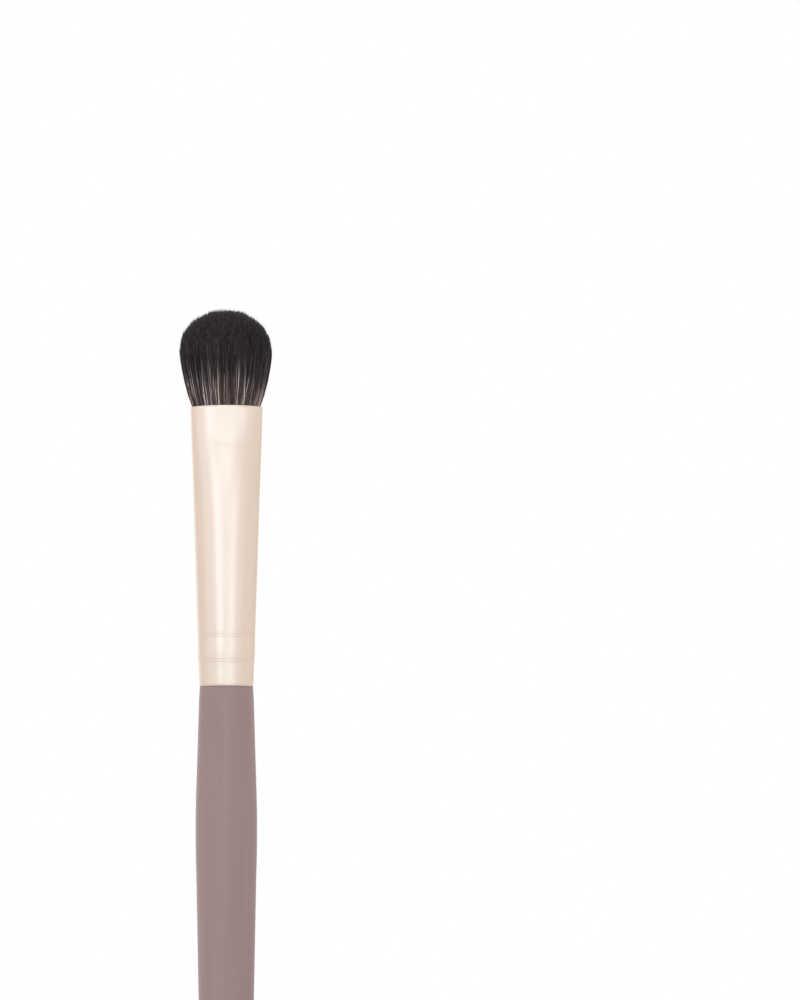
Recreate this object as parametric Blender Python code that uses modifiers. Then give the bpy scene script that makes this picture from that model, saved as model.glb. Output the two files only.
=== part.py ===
"""A concealer brush: a turned handle, a pressed ferrule, glued and tied hair.

Lengths are in metres. +Z runs along the brush towards the hair, +X along the broad way of
the oval ferrule, and the slanted face of the hair looks towards -Y. The origin lies on the
brush's own line, at the widest point of the handle, where the fingers hold it.
"""

import bisect
import math
import random

import bmesh
import bpy
from mathutils import Matrix, Vector

MM = 0.001

# Fit between pieces that touch on the real brush
CLEARANCE = 0.3 * MM

# Handle, with heights measured from its widest point
SWELL_DIAMETER = 7.82 * MM
TAIL_DIAMETER = 4.3 * MM
SWELL_TO_FERRULE = 17.85 * MM
SWELL_TO_TAIL = 101.4 * MM
LIP_LENGTH = 1.5 * MM
NOSE_LENGTH = 2.8 * MM
TENON_LENGTH = 11.5 * MM
TENON_CHAMFER = 0.6 * MM
HANDLE_SIDES = 40
LIP_STEPS = 4
NECK_STEPS = 8
TAIL_STEPS = 12
# Steps of the tail grow longer downwards by this power, since it curves most near the swell
TAIL_STEP_POWER = 1.6
NOSE_STEPS = 6
# Share of the way down from the neck, share of the growth from neck to swell
NECK_SHARES = ((0, 0), (0.25, 0.28), (0.5, 0.56), (0.82, 0.93), (1, 1))
# Share of the way down from the swell, share of the loss from swell to tail
TAIL_SHARES = ((0, 0), (0.035, 0.02), (0.07, 0.065), (0.22, 0.225), (0.6, 0.61), (1, 1))

# Ferrule, with heights measured up from its lower end
FERRULE_LENGTH = 35.75 * MM
FERRULE_WALL = 0.35 * MM
MOUTH_WIDTH = 9.17 * MM
MOUTH_DEPTH = 5.43 * MM
COLLAR_DIAMETER = 7.3 * MM
# How much deeper the barrel is than the round collar below it
BARREL_GAIN = 0.08 * MM
# How much narrower each round part is than the one above it, down to the handle's lip
BAND_LOSS = 0.06 * MM
END_BAND_LOSS = 0.22 * MM
END_CURL_LOSS = 0.18 * MM
LIP_LOSS = 0.08 * MM
# How much wider the handle's neck is than its lip
NECK_GAIN = 0.21 * MM
END_CURL_LENGTH = 0.7 * MM
UPPER_CRIMP_HEIGHT = 6.55 * MM
LOWER_CRIMP_HEIGHT = 3.35 * MM
CRIMP_SPACING = 0.46 * MM
CRIMP_WIDTH = 0.28 * MM
CRIMP_DEPTH = 0.06 * MM
RIM_DROP = 0.13 * MM
# Power of the mouth's oval outline: 2 would be an ellipse, and more has flatter broad faces
MOUTH_POWER = 2.6
# Share of half the wall by which the rim and the lower end are rounded off
RIM_ROUND_SHARE = 1 / 3
FERRULE_SIDES = 40
TAPER_STEPS = 12
LINING_STEPS = 7
BAND_STEPS = 4
CURL_STEPS = 2
# Share of the way down from the mouth, share of the growth from mouth depth to barrel depth
PRESS_SHARES = ((0, 0), (0.11, 0.15), (0.25, 0.53), (0.38, 0.8), (0.51, 0.925), (0.76, 1))

# Hair, with rises measured from the ferrule's mouth
TUFT_WIDTH = 11.7 * MM
TUFT_DEPTH = 9.0 * MM
WIDTH_RISE = 7.7 * MM
DEPTH_RISE = 10.5 * MM
SHOULDER_RISE = 8.7 * MM
SLANT_RISE = 2.3 * MM
DOME_RISE = 3.1 * MM
SIDE_FALL = 1.0 * MM
LOW_RING_RISE = 1.7 * MM
ROOT_LENGTH = 11.5 * MM
# The disc of cells starts as a hexagon
CELL_SIDES = 6
CELL_RINGS = 8
CELL_TURN = math.radians(8)
CELL_SCATTER_SHARE = 0.16
STRAND_FILL_SHARE = 0.76
STRAND_TIP_SHARE = 0.6
STRAND_BEND_SHARE = 0.82
STRAND_SCATTER_SHARE = 0.035
STRAND_SEED = 11
# Share of the rise over which the hair spreads, share of the spread
WIDTH_SPREAD_SHARES = ((0, 0), (0.2, 0.5), (0.4, 0.73), (0.66, 0.93), (1, 1))
DEPTH_SPREAD_SHARES = ((0, 0), (0.16, 0.34), (0.42, 0.55), (0.76, 0.84), (1, 1))

# Thread round the hair's root
THREAD_DIAMETER = 0.45 * MM
THREAD_PITCH = 0.9 * MM
THREAD_TURN_COUNT = 4
THREAD_TURN_STEPS = 18
THREAD_ROUND_STEPS = 1
TIE_SLOPE = 0.5 * MM
TIE_SEAT = 1.2 * MM

# Glue plug
MENISCUS_DEPTH = 0.5 * MM
PLUG_STEPS = 5

# Distance under which points of a turned outline are one
MERGE = 0.001 * MM

# Colours as they show on screen, red, green and blue from 0 to 255, then roughness
SCREEN_WHITE = 255
SCREEN_GAMMA = 2.2
MAUVE_LACQUER = (158, 137, 135, 0.5)
CHAMPAGNE_METAL = (232, 214, 198, 0.32)
CURED_GLUE = (214, 190, 140, 0.25)
DARK_HAIR = (46, 44, 45, 0.6)
WAXED_THREAD = (224, 216, 200, 0.7)

BARREL_DEPTH = COLLAR_DIAMETER + BARREL_GAIN
BAND_DIAMETER = COLLAR_DIAMETER - BAND_LOSS
END_BAND_DIAMETER = BAND_DIAMETER - END_BAND_LOSS
END_DIAMETER = END_BAND_DIAMETER - END_CURL_LOSS
LIP_DIAMETER = END_DIAMETER - LIP_LOSS
NECK_DIAMETER = LIP_DIAMETER + NECK_GAIN
FIRST_CRIMP_TOP = UPPER_CRIMP_HEIGHT + (CRIMP_SPACING + CRIMP_WIDTH) / 2
TAPER_LENGTH = FERRULE_LENGTH - FIRST_CRIMP_TOP
INSIDE_INSET = FERRULE_WALL + CLEARANCE
TENON_RADIUS = END_BAND_DIAMETER / 2 - max(CRIMP_DEPTH, END_CURL_LOSS / 2) - INSIDE_INSET
TENON_TOP = TENON_LENGTH - CLEARANCE
ROOT_BOTTOM = FERRULE_LENGTH - ROOT_LENGTH
TIE_BITE = THREAD_DIAMETER + CLEARANCE
TIE_LENGTH = THREAD_TURN_COUNT * THREAD_PITCH + THREAD_DIAMETER + 2 * CLEARANCE
TIE_BOTTOM = ROOT_BOTTOM + TIE_SEAT + TIE_SLOPE
TIE_TOP = TIE_BOTTOM + TIE_LENGTH


def slope_of(stations, index):
    """The slope of a smooth curve at one of its stations, from the stations on each side."""
    before = stations[max(index - 1, 0)]
    after = stations[min(index + 1, len(stations) - 1)]
    return (after[1] - before[1]) / (after[0] - before[0])


def curve_through(stations, at):
    """The value at a place on a smooth curve through (place, value) stations."""
    places = [place for place, _ in stations]
    at = min(max(at, places[0]), places[-1])
    index = min(bisect.bisect_right(places, at), len(stations) - 1) - 1
    (start, low), (end, high) = stations[index], stations[index + 1]
    span = end - start
    part = (at - start) / span
    rest = 1 - part
    leaving = slope_of(stations, index) * span
    arriving = slope_of(stations, index + 1) * span
    ends = low * (1 + 2 * part) * rest**2 + high * (1 + 2 * rest) * part**2
    return ends + leaving * part * rest**2 - arriving * rest * part**2


def press_share(height):
    """How far down from the mouth a height lies, as a share of the ferrule's taper."""
    return min(max((FERRULE_LENGTH - height) / TAPER_LENGTH, 0), 1)


def band_radius(height):
    """The round part of the ferrule: collar, crimped band, end band and the end curled in."""
    if height > UPPER_CRIMP_HEIGHT:
        return COLLAR_DIAMETER / 2
    if height > LOWER_CRIMP_HEIGHT:
        middle = (UPPER_CRIMP_HEIGHT + LOWER_CRIMP_HEIGHT) / 2
        away = (height - middle) / (UPPER_CRIMP_HEIGHT - middle)
        return (BAND_DIAMETER - CRIMP_DEPTH * away**2) / 2
    curl = max(1 - height / END_CURL_LENGTH, 0)
    return (END_BAND_DIAMETER - END_CURL_LOSS * curl**2) / 2


def ferrule_half_width(height):
    """Half of the ferrule's outer width at a height, the broad way of the oval."""
    if height < FIRST_CRIMP_TOP:
        return band_radius(height)
    growth = COLLAR_DIAMETER - MOUTH_WIDTH
    return (MOUTH_WIDTH + growth * press_share(height)) / 2


def ferrule_half_depth(height):
    """Half of the ferrule's outer depth at a height, the narrow way that the press closes."""
    if height < FIRST_CRIMP_TOP:
        return band_radius(height)
    growth = BARREL_DEPTH - MOUTH_DEPTH
    stations = [(share, MOUTH_DEPTH + growth * grown) for share, grown in PRESS_SHARES]
    stations.append((1, COLLAR_DIAMETER))
    return curve_through(stations, press_share(height)) / 2


def oval_power(height):
    """The power of the oval outline at a height: an ellipse's 2, and more near the mouth."""
    if height < FIRST_CRIMP_TOP:
        return 2
    depth = 2 * ferrule_half_depth(min(height, FERRULE_LENGTH))
    pressed = (BARREL_DEPTH - depth) / (BARREL_DEPTH - MOUTH_DEPTH)
    spread = max(height - FERRULE_LENGTH, 0) / WIDTH_RISE
    return 2 + (MOUTH_POWER - 2) * max(min(pressed, 1 - spread), 0)


def corner_reach(cosine, sine, height):
    """How far a direction's point lies outside an ellipse, as the press squares the oval."""
    power = oval_power(height)
    return (abs(cosine) ** power + abs(sine) ** power) ** (-1 / power)


def drawn_radius(height):
    """The radius of the ferrule as a round drawn tube, before it is pressed oval."""
    return (ferrule_half_width(height) + ferrule_half_depth(height)) / 2


def press_oval(mesh):
    """Presses a turned piece oval, as the ferrule is, each wall keeping its thickness."""
    for vertex in mesh.vertices:
        x, y, height = vertex.co
        radius = math.hypot(x, y)
        if radius < MERGE:
            continue
        inset = drawn_radius(height) - radius
        cosine, sine = x / radius, y / radius
        reach = corner_reach(cosine, sine, height)
        near_mouth = max(1 - (FERRULE_LENGTH - height) / FERRULE_WALL, 0)
        vertex.co = (
            (ferrule_half_width(height) * reach - inset) * cosine,
            (ferrule_half_depth(height) * reach - inset) * sine,
            height - RIM_DROP * cosine**2 * near_mouth,
        )


def paint(name, look, metallic=0):
    """A Principled material from its colour as it shows on screen and its roughness."""
    *screen, roughness = look
    material = bpy.data.materials.new(name)
    material.use_nodes = True
    shader = material.node_tree.nodes["Principled BSDF"]
    linear = [(part / SCREEN_WHITE) ** SCREEN_GAMMA for part in screen]
    shader.inputs["Base Color"].default_value = (*linear, 1)
    shader.inputs["Roughness"].default_value = roughness
    shader.inputs["Metallic"].default_value = metallic
    material.diffuse_color = (*linear, 1)
    return material


def seat(name, mesh, material, parent):
    """Puts a mesh in the brush's collection as a named piece under its parent."""
    piece = bpy.data.objects.new(name, mesh)
    mesh.materials.append(material)
    bpy.data.collections["concealer_brush"].objects.link(piece)
    piece.parent = parent
    return piece


def turn(name, outline, closed, sides, material, parent):
    """A turned piece: an outline of (radius, height) points, top to bottom, swept round Z."""
    mesh = bpy.data.meshes.new(name)
    edges = [(index, index + 1) for index in range(len(outline) - 1)]
    if closed:
        edges.append((len(outline) - 1, 0))
    mesh.from_pydata([(radius, 0, height) for radius, height in outline], edges, [])
    piece = seat(name, mesh, material, parent)
    screw = piece.modifiers.new("turning", "SCREW")
    screw.axis = "Z"
    screw.steps = sides
    screw.render_steps = sides
    screw.use_merge_vertices = True
    screw.merge_threshold = MERGE
    screw.use_smooth_shade = True
    return piece


def turn_and_press(name, outline, closed, material, parent):
    """A piece turned round and then pressed to the ferrule's oval."""
    piece = turn(name, outline, closed, FERRULE_SIDES, material, parent)
    graph = bpy.context.evaluated_depsgraph_get()
    turned = piece.data
    mesh = bpy.data.meshes.new_from_object(piece.evaluated_get(graph))
    piece.modifiers.clear()
    piece.data = mesh
    bpy.data.meshes.remove(turned)
    mesh.name = name
    press_oval(mesh)
    return piece


def neck_outline(top):
    """The handle from its lip under the ferrule down to the swell."""
    lip, neck, swell = LIP_DIAMETER / 2, NECK_DIAMETER / 2, SWELL_DIAMETER / 2
    points = []
    for step in range(LIP_STEPS):
        part = step / LIP_STEPS
        points.append((lip + (neck - lip) * math.sqrt(part), top - LIP_LENGTH * part))
    reach = top - LIP_LENGTH
    for step in range(NECK_STEPS + 1):
        part = step / NECK_STEPS
        grown = curve_through(NECK_SHARES, part)
        points.append((neck + (swell - neck) * grown, reach * (1 - part)))
    return points


def tail_outline():
    """The long taper below the swell and the rounded nose at its end."""
    swell, tail = SWELL_DIAMETER / 2, TAIL_DIAMETER / 2
    reach = SWELL_TO_TAIL - NOSE_LENGTH
    points = []
    for step in range(1, TAIL_STEPS + 1):
        part = (step / TAIL_STEPS) ** TAIL_STEP_POWER
        lost = curve_through(TAIL_SHARES, part)
        points.append((swell - (swell - tail) * lost, -reach * part))
    for step in range(1, NOSE_STEPS + 1):
        angle = math.pi / 2 * step / NOSE_STEPS
        radius = tail * math.cos(angle) if step < NOSE_STEPS else 0
        points.append((radius, -reach - NOSE_LENGTH * math.sin(angle)))
    return points


def make_handle(parent):
    """The lacquered wooden handle, with the tenon that the ferrule is glued on."""
    shoulder = SWELL_TO_FERRULE - CLEARANCE
    top = SWELL_TO_FERRULE + TENON_TOP
    tenon = [
        (0, top),
        (TENON_RADIUS - TENON_CHAMFER, top),
        (TENON_RADIUS, top - TENON_CHAMFER),
        (TENON_RADIUS, shoulder),
    ]
    lacquer = paint("mauve_lacquer", MAUVE_LACQUER)
    outline = tenon + neck_outline(shoulder) + tail_outline()
    turn("handle", outline, False, HANDLE_SIDES, lacquer, parent)


def crimp_outline(middle, inset):
    """Two fine grooves rolled round the ferrule, one above and one below a height."""
    points = []
    for groove in (middle + CRIMP_SPACING / 2, middle - CRIMP_SPACING / 2):
        for offset, depth in ((CRIMP_WIDTH / 2, 0), (0, CRIMP_DEPTH), (-CRIMP_WIDTH / 2, 0)):
            height = groove + offset
            points.append((drawn_radius(height) - inset - depth, height))
    return points


def ferrule_side(inset, steps, from_height):
    """One face of the ferrule's wall, from near the mouth down to near the lower end."""
    points = []
    for step in range(steps):
        height = from_height + (FIRST_CRIMP_TOP - from_height) * step / steps
        points.append((drawn_radius(height) - inset, height))
    points += crimp_outline(UPPER_CRIMP_HEIGHT, inset)
    top = UPPER_CRIMP_HEIGHT - (CRIMP_SPACING + CRIMP_WIDTH) / 2
    bottom = LOWER_CRIMP_HEIGHT + (CRIMP_SPACING + CRIMP_WIDTH) / 2
    for step in range(1, BAND_STEPS):
        height = top + (bottom - top) * step / BAND_STEPS
        points.append((drawn_radius(height) - inset, height))
    points += crimp_outline(LOWER_CRIMP_HEIGHT, inset)
    for step in range(CURL_STEPS):
        height = END_CURL_LENGTH * (1 - step / CURL_STEPS)
        points.append((drawn_radius(height) - inset, height))
    return points


def make_ferrule(parent):
    """The seamless ferrule: drawn tube, two double crimps, oval mouth with a rounded rim."""
    half_wall = FERRULE_WALL / 2
    rim_foot = FERRULE_LENGTH - half_wall
    rounding = half_wall * RIM_ROUND_SHARE
    rim, end = drawn_radius(FERRULE_LENGTH), drawn_radius(0)
    outline = [(rim - half_wall, FERRULE_LENGTH)]
    outline += [(rim - rounding, FERRULE_LENGTH - rounding)]
    outline += ferrule_side(0, TAPER_STEPS, rim_foot)
    outline += [(end - rounding, 0), (end - FERRULE_WALL + rounding, 0)]
    outline += reversed(ferrule_side(FERRULE_WALL, LINING_STEPS, rim_foot))
    outline += [(rim - FERRULE_WALL + rounding, FERRULE_LENGTH - rounding)]
    champagne = paint("champagne_metal", CHAMPAGNE_METAL, metallic=1)
    turn_and_press("ferrule", outline, True, champagne, parent)


def make_glue_plug(parent):
    """The cured glue that fills the ferrule between the handle's tenon and the hair's root."""
    top = ROOT_BOTTOM - CLEARANCE
    bottom = TENON_TOP + CLEARANCE
    outline = [(0, top - MENISCUS_DEPTH)]
    for step in range(PLUG_STEPS):
        height = top + (bottom - top) * step / (PLUG_STEPS - 1)
        outline.append((drawn_radius(height) - INSIDE_INSET, height))
    outline.append((0, bottom + MENISCUS_DEPTH))
    glue = paint("cured_glue", CURED_GLUE)
    turn_and_press("glue_plug", outline, False, glue, parent)


def tie_inset(height):
    """How far the thread draws the packed hair in at a height of the root."""
    places = ((TIE_BOTTOM - TIE_SLOPE, 0), (TIE_BOTTOM, TIE_BITE))
    places += ((TIE_TOP, TIE_BITE), (TIE_TOP + TIE_SLOPE, 0))
    for (low, start), (high, end) in zip(places, places[1:]):
        if low <= height <= high:
            return start + (end - start) * (height - low) / (high - low)
    return 0


def hair_half_sizes(height):
    """Half of the hair's width and depth at a height, packed in the ferrule or spread above."""
    inside = min(height, FERRULE_LENGTH)
    inset = INSIDE_INSET + tie_inset(height)
    half_width = ferrule_half_width(inside) - inset
    half_depth = ferrule_half_depth(inside) - inset
    rise = max(height - FERRULE_LENGTH, 0)
    wider = curve_through(WIDTH_SPREAD_SHARES, rise / WIDTH_RISE)
    deeper = curve_through(DEPTH_SPREAD_SHARES, rise / DEPTH_RISE)
    half_width += (TUFT_WIDTH / 2 - half_width) * wider
    half_depth += (TUFT_DEPTH / 2 - half_depth) * deeper
    return half_width, half_depth


def tip_rise(across, back):
    """How far a strand stands out: a dome, slanted down to the front and to both sides.

    Its place in the tuft is given from -1 to 1, across the tuft and from front to back.
    """
    dome = math.sqrt(max(1 - across**2 - back**2, 0))
    return SHOULDER_RISE + SLANT_RISE * back - SIDE_FALL * across**2 + DOME_RISE * dome


def round_out(point):
    """Moves a point of a hexagon outwards, so that each ring of its cells is a circle."""
    sides = [2 * math.pi * index / CELL_SIDES for index in range(CELL_SIDES)]
    reach = max(point.x * math.cos(side) + point.y * math.sin(side) for side in sides)
    if point.length:
        point *= reach / math.cos(math.pi / CELL_SIDES) / point.length


def make_cells(bm, scatter):
    """A disc of three-sided cells, one for each strand, level with the ferrule's mouth.

    The cells are turned and scattered a little, so that their rows line up with no side.
    """
    bmesh.ops.create_circle(
        bm, cap_ends=True, cap_tris=True, segments=CELL_SIDES, radius=1
    )
    bmesh.ops.subdivide_edges(
        bm, edges=bm.edges[:], cuts=CELL_RINGS - 1, use_grid_fill=True
    )
    stray = CELL_SCATTER_SHARE / CELL_RINGS
    for vertex in bm.verts:
        round_out(vertex.co)
        if not vertex.is_boundary:
            vertex.co.x += scatter.uniform(-stray, stray)
            vertex.co.y += scatter.uniform(-stray, stray)
        vertex.co.z = FERRULE_LENGTH
    turn_round_z = Matrix.Rotation(CELL_TURN, 3, "Z")
    bmesh.ops.rotate(bm, verts=bm.verts[:], cent=Vector(), matrix=turn_round_z)


def make_root(bm):
    """The packed hair inside the ferrule, drawn in where it is tied, closed at its end."""
    rim = [edge for edge in bm.edges if edge.is_boundary]
    heights = (TIE_TOP + TIE_SLOPE, TIE_TOP, TIE_BOTTOM, TIE_BOTTOM - TIE_SLOPE, ROOT_BOTTOM)
    for height in heights:
        made = bmesh.ops.extrude_edge_only(bm, edges=rim)["geom"]
        for item in made:
            if isinstance(item, bmesh.types.BMVert):
                item.co.z = height
        rim = [item for item in made if isinstance(item, bmesh.types.BMEdge)]
        rim = [edge for edge in rim if edge.is_boundary]
    bmesh.ops.edgeloop_fill(bm, edges=rim)


def shrink(face, share):
    """Draws a face's corners towards its middle, to a share of its size."""
    middle = face.calc_center_median()
    for vertex in face.verts:
        vertex.co = middle.lerp(vertex.co, share)


def lift(bm, cells, height_of):
    """Extrudes each strand by itself up to a height of its own."""
    lifted = bmesh.ops.extrude_discrete_faces(bm, faces=cells)["faces"]
    for face in lifted:
        height = height_of(face)
        for vertex in face.verts:
            vertex.co.z = height
    return lifted


def make_strands(bm, cells, reach, scatter):
    """Grows a strand from each cell: a low ring, a ring near its end, and a pointed tip."""
    for face in cells:
        across, back, _ = face.calc_center_median()
        longest = tip_rise(across, back)
        face[reach] = longest * scatter.uniform(1 - STRAND_SCATTER_SHARE, 1)
    bmesh.ops.inset_individual(bm, faces=cells, thickness=0)
    for face in cells:
        shrink(face, STRAND_FILL_SHARE)
    low = lift(bm, cells, lambda face: FERRULE_LENGTH + LOW_RING_RISE)
    upper = lift(bm, low, lambda face: FERRULE_LENGTH + face[reach] * STRAND_BEND_SHARE)
    for face in upper:
        shrink(face, STRAND_TIP_SHARE / STRAND_FILL_SHARE)
    tips = lift(bm, upper, lambda face: FERRULE_LENGTH + face[reach])
    for face in tips:
        shrink(face, 0)
    ends = {vertex for face in tips for vertex in face.verts}
    bmesh.ops.remove_doubles(bm, verts=list(ends), dist=MERGE)


def spread_hair(bm):
    """Gives the disc of strands the real outline of the tuft, height by height."""
    for vertex in bm.verts:
        x, y, height = vertex.co
        half_width, half_depth = hair_half_sizes(height)
        away = math.hypot(x, y)
        reach = corner_reach(x / away, y / away, height) if away else 1
        vertex.co.x *= half_width * reach
        vertex.co.y *= half_depth * reach


def make_tuft(parent):
    """The hair: strands that fan out of the mouth, all of one body with their packed root."""
    scatter = random.Random(STRAND_SEED)
    bm = bmesh.new()
    reach = bm.faces.layers.float.new("reach")
    make_cells(bm, scatter)
    cells = bm.faces[:]
    make_root(bm)
    make_strands(bm, cells, reach, scatter)
    spread_hair(bm)
    bmesh.ops.recalc_face_normals(bm, faces=bm.faces[:])
    mesh = bpy.data.meshes.new("tuft")
    bm.to_mesh(mesh)
    bm.free()
    seat("tuft", mesh, paint("dark_hair", DARK_HAIR), parent)


def make_binding_thread(parent):
    """The thread that ties the hair's root, wound in one helix in the drawn-in stretch."""
    curve = bpy.data.curves.new("binding_thread", "CURVE")
    curve.dimensions = "3D"
    curve.bevel_depth = THREAD_DIAMETER / 2
    curve.bevel_resolution = THREAD_ROUND_STEPS
    curve.use_fill_caps = True
    winding = curve.splines.new("POLY")
    winding.points.add(THREAD_TURN_COUNT * THREAD_TURN_STEPS)
    start = TIE_BOTTOM + CLEARANCE + THREAD_DIAMETER / 2
    inset = INSIDE_INSET + THREAD_DIAMETER / 2
    for index, point in enumerate(winding.points):
        turns = index / THREAD_TURN_STEPS
        angle = 2 * math.pi * turns
        height = start + THREAD_PITCH * turns
        cosine, sine = math.cos(angle), math.sin(angle)
        reach = corner_reach(cosine, sine, height)
        across = (ferrule_half_width(height) - inset) * reach * cosine
        back = (ferrule_half_depth(height) - inset) * reach * sine
        point.co = (across, back, height, 1)
    seat("binding_thread", curve, paint("waxed_thread", WAXED_THREAD), parent)


def clear_scene():
    for item in list(bpy.data.objects):
        bpy.data.objects.remove(item, do_unlink=True)


def make_empty(name, location, parent):
    """A point that pieces are placed by."""
    point = bpy.data.objects.new(name, None)
    bpy.data.collections["concealer_brush"].objects.link(point)
    point.location = location
    point.parent = parent
    return point


def make_brush():
    clear_scene()
    collection = bpy.data.collections.new("concealer_brush")
    bpy.context.scene.collection.children.link(collection)
    grip = make_empty("grip_point", Vector(), None)
    ferrule_seat = make_empty("ferrule_seat", Vector((0, 0, SWELL_TO_FERRULE)), grip)
    make_handle(grip)
    make_ferrule(ferrule_seat)
    make_glue_plug(ferrule_seat)
    make_tuft(ferrule_seat)
    make_binding_thread(ferrule_seat)


make_brush()
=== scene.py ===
# %% [markdown]
# # A concealer brush, dressed piece by piece
# The brush stands with its hair up: +Z runs along it, +X along the broad way of its oval
# mouth, and the slanted face of the hair looks to -Y. The origin lies on the brush's own
# line, at the widest point of the handle. The solids are loaded first and never changed.
# Their box is kept, so that the finer pieces can be held against it at the end.

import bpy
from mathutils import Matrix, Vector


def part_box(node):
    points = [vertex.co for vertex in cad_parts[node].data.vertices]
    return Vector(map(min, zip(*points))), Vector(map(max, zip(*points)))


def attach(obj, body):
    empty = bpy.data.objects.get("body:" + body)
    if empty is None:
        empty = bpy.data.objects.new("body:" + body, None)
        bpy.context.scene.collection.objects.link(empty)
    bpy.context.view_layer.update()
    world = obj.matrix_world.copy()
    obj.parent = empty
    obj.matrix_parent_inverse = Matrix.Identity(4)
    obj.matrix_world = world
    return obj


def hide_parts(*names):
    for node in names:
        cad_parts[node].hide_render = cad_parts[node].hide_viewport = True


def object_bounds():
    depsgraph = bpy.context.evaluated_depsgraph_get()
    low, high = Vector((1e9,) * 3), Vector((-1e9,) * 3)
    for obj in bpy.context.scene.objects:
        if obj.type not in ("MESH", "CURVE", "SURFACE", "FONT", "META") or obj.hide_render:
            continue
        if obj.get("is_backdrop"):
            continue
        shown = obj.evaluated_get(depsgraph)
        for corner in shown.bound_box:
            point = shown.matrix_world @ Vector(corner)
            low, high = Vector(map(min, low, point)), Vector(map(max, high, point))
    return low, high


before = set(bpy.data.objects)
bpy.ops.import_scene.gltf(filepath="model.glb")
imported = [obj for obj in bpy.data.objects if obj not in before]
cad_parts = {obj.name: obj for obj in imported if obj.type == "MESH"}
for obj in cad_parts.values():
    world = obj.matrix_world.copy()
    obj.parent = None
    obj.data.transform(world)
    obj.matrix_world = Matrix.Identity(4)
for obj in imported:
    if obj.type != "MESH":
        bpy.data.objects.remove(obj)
CAD_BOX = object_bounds()
print("solids:", sorted(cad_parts))

# %% [markdown]
# ## Places on the brush
# Blender counts in metres, and a brush is thought of in millimetres, so one factor turns
# the one into the other. Everything else hangs on three heights that are read from the
# solids: the lower end of the ferrule, its mouth, and the end of the handle. A finer
# piece can then never drift away from the solid that it stands for.

# %% Read the main heights
import math

import bmesh
import bpy
import numpy as np
from mathutils import Vector

MM = 0.001
FERRULE_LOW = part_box("ferrule")[0].z
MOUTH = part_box("ferrule")[1].z
TAIL_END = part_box("handle")[0].z
for title, height in (("ferrule", FERRULE_LOW), ("mouth", MOUTH), ("tail", TAIL_END)):
    print(f"{title} at {height / MM:.2f} mm")

# %% [markdown]
# ## The camera
# A long lens from about a metre and a half keeps the sides of so slim a thing parallel.
# The brush stands in the left half of the picture, so the camera stands a little to its
# right and looks straight ahead. It stands low and looks up a few degrees, which bends
# the mouth's edge into the gentle arch that it has in the picture. No shift is needed.

# %% Set up the camera
CAMERA_RIGHT = 22.03 * MM
CAMERA_HEIGHT = -26.53 * MM
CAMERA_DISTANCE = 1450 * MM
CAMERA_TILT = math.radians(2.69)
LENS = 411.3

lens = bpy.data.cameras.new("long_lens")
lens.lens = LENS
lens.sensor_width = 36
lens.clip_start = 0.05
camera = bpy.data.objects.new("camera", lens)
camera.location = (CAMERA_RIGHT, -CAMERA_DISTANCE, CAMERA_HEIGHT)
camera.rotation_euler = (math.pi / 2 + CAMERA_TILT, 0, 0)
bpy.context.scene.collection.objects.link(camera)
bpy.context.scene.camera = camera
bpy.context.scene.view_settings.view_transform = "Standard"
print("lens", LENS, "mm, looking up", round(math.degrees(CAMERA_TILT), 2), "degrees")

# %% [markdown]
# ## Writing node graphs as sums
# A finish is a graph of nodes, and so is the light of a room. Wiring one by hand hides
# what it works out. A socket wrapped in a small class can stand in a Python expression
# instead: `1 - mask * 0.3` adds its two Math nodes by itself. Every other kind of node
# comes from the one method `node`, which takes its settings first, such as a ramp's
# stops, and then its sockets. A finish is such a graph with a Principled shader in it.

# %% Define the helpers for node graphs
class Wire:
    """A shader socket that can be written into sums."""

    def __init__(self, graph, socket):
        self.graph = graph
        self.socket = socket

    def math(self, operation, first, second):
        """Adds a Math node."""
        return self.graph.node("Math", {"operation": operation}, {0: first, 1: second})

    def __add__(self, other):
        return self.math("ADD", self, other)

    __radd__ = __add__

    def __sub__(self, other):
        return self.math("SUBTRACT", self, other)

    def __rsub__(self, other):
        return self.math("SUBTRACT", other, self)

    def __mul__(self, other):
        return self.math("MULTIPLY", self, other)

    __rmul__ = __mul__

    def __truediv__(self, other):
        return self.math("DIVIDE", self, other)

    def __rtruediv__(self, other):
        return self.math("DIVIDE", other, self)

    def __pow__(self, other):
        return self.math("POWER", self, other)


class Graph:
    """A node tree that is built from wires."""

    def __init__(self, tree):
        self.tree = tree

    def fill(self, socket, value):
        """Links a wire to a socket, or sets the socket's own value."""
        if isinstance(value, Wire):
            self.tree.links.new(value.socket, socket)
        else:
            socket.default_value = value

    def node(self, kind, settings=(), sockets=(), output=0):
        """Adds a node: its settings first, then its sockets. Gives back one output."""
        made = self.tree.nodes.new("ShaderNode" + kind)
        for title, value in dict(settings).items():
            if title == "stops":
                self.set_stops(made.color_ramp, value)
            else:
                setattr(made, title, value)
        for title, value in dict(sockets).items():
            self.fill(made.inputs[title], value)
        return Wire(self, made.outputs[output])

    def set_stops(self, ramp, stops):
        """Gives a colour ramp its places and colours."""
        while len(ramp.elements) < len(stops):
            ramp.elements.new(1)
        for element, (place, colour) in zip(ramp.elements, stops):
            element.position = place
            element.color = colour

    def blend(self, share, first, second):
        """Mixes two colours."""
        sockets = {"Factor": share, 6: first, 7: second}
        return self.node("Mix", {"data_type": "RGBA"}, sockets, output=2)

    def step(self, value, low, high):
        """Rises smoothly from 0 to 1 while a value goes from low to high."""
        sockets = {"Value": value, "From Min": low, "From Max": high}
        return self.node("MapRange", {"interpolation_type": "SMOOTHSTEP"}, sockets)


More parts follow.
